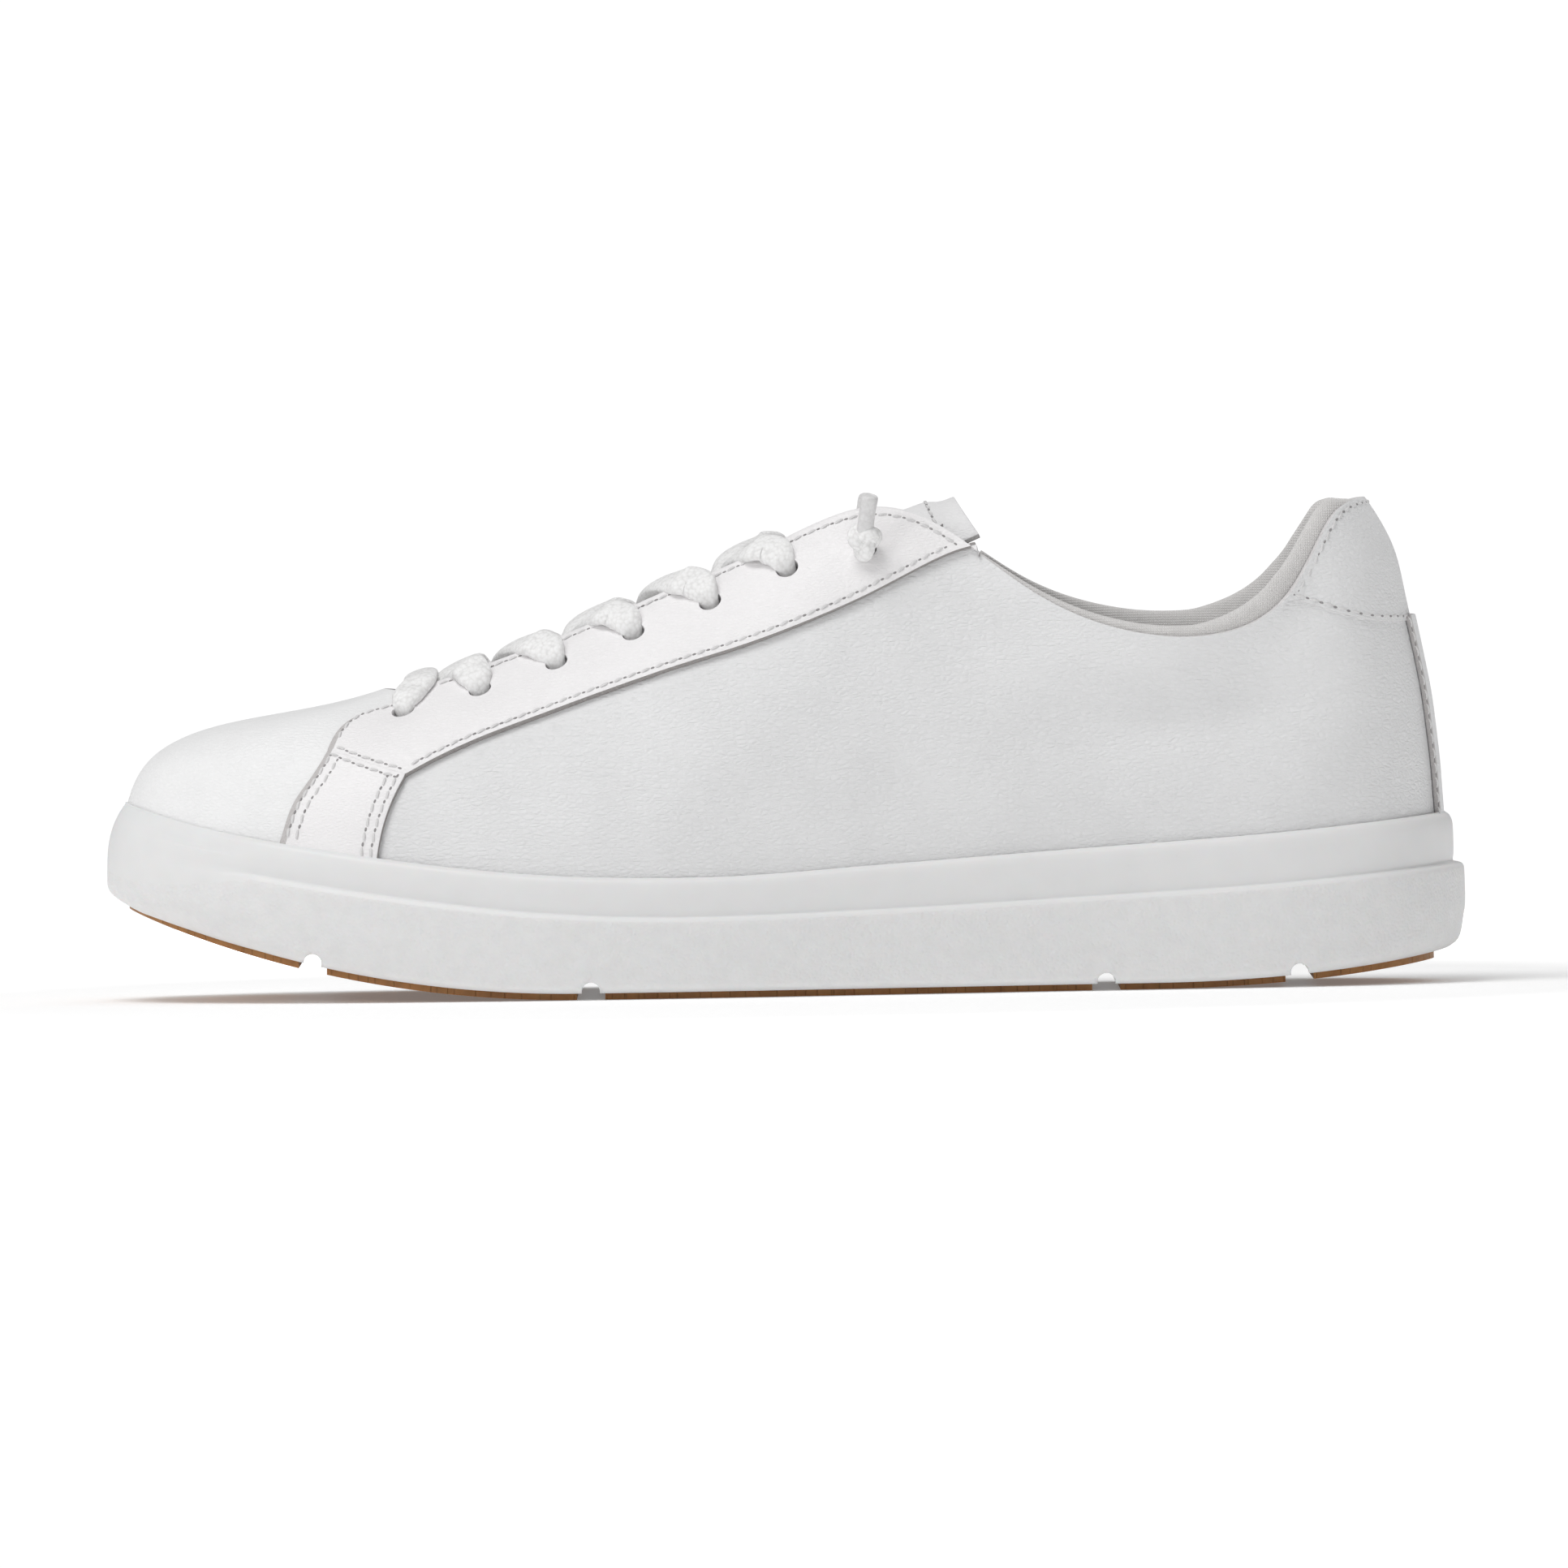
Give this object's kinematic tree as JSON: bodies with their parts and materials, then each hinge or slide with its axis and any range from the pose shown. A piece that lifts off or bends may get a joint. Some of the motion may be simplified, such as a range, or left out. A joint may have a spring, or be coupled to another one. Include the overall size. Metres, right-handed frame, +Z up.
{
  "type": "court shoe",
  "caption": "Low lace-up leather court shoe for the left foot, with a white cup sole on gum rubber pads, a padded collar and tongue, and elastic laces ending in stopper knots.",
  "frame": {"origin": "on the ground under the middle of the shoe's length and width", "axes": "+Z up, +X from the toe to the heel, -Y towards the outer side of the foot"},
  "size_m": [0.2987, 0.1051, 0.1096],
  "materials": {
    "upper_leather": "fine grain, semi matt",
    "eyestay_leather": "smooth, semi matt",
    "heel_leather": "smooth, semi matt",
    "cup_rubber": "moulded, matt",
    "gum_rubber": "moulded, matt",
    "stiffener": "thermoplastic sheet",
    "backing_tape": "woven",
    "lining_cloth": "knitted",
    "foam": "open cell",
    "board": "non woven",
    "footbed_foam": "soft foam",
    "footbed_cloth": "knitted",
    "tongue_leather": "smooth, semi matt",
    "lace_cord": "braided, slight sheen",
    "lace_tip": "moulded"
  },
  "bodies": {
    "shoe": {"midsole_cup": "cup_rubber", "outsole_toe_pad": "gum_rubber", "outsole_ball_pad": "gum_rubber", "outsole_arch_pad": "gum_rubber", "outsole_heel_front_pad": "gum_rubber", "outsole_heel_rear_pad": "gum_rubber", "vamp": "upper_leather", "quarter_lateral": "upper_leather", "quarter_medial": "upper_leather", "eyestay_lateral": "eyestay_leather", "eyestay_medial": "eyestay_leather", "side_strap_lateral": "eyestay_leather", "side_strap_medial": "eyestay_leather", "heel_patch": "heel_leather", "heel_strip": "heel_leather", "toe_puff": "stiffener", "heel_counter": "stiffener", "eyestay_backing_lateral": "backing_tape", "eyestay_backing_medial": "backing_tape", "vamp_lining": "lining_cloth", "quarter_lining_lateral": "lining_cloth", "quarter_lining_medial": "lining_cloth", "collar_lining": "lining_cloth", "collar_padding": "foam", "strobel_board": "board", "lace": "lace_cord", "lace_knot_lateral": "lace_cord", "lace_knot_medial": "lace_cord", "lace_tip_lateral": "lace_tip", "lace_tip_medial": "lace_tip"},
    "tongue": {"tongue_leather": "tongue_leather", "tongue_padding": "foam", "tongue_lining": "lining_cloth"},
    "footbed": {"footbed": "footbed_foam", "footbed_cover": "footbed_cloth"}
  },
  "joints": [
    {"name": "tongue_fold", "type": "hinge", "parent": "shoe", "child": "tongue", "pos_m": [-0.088, 0, 0.061], "axis": [0, 1, 0], "range_deg": [0, 6], "stiffness_Nm_per_rad": 0.6, "springref_deg": -5.73},
    {"name": "footbed_lift", "type": "hinge", "parent": "shoe", "child": "footbed", "pos_m": [-0.137, 0, 0.03], "axis": [0, -1, 0], "range_deg": [0, 3.5]}
  ]
}
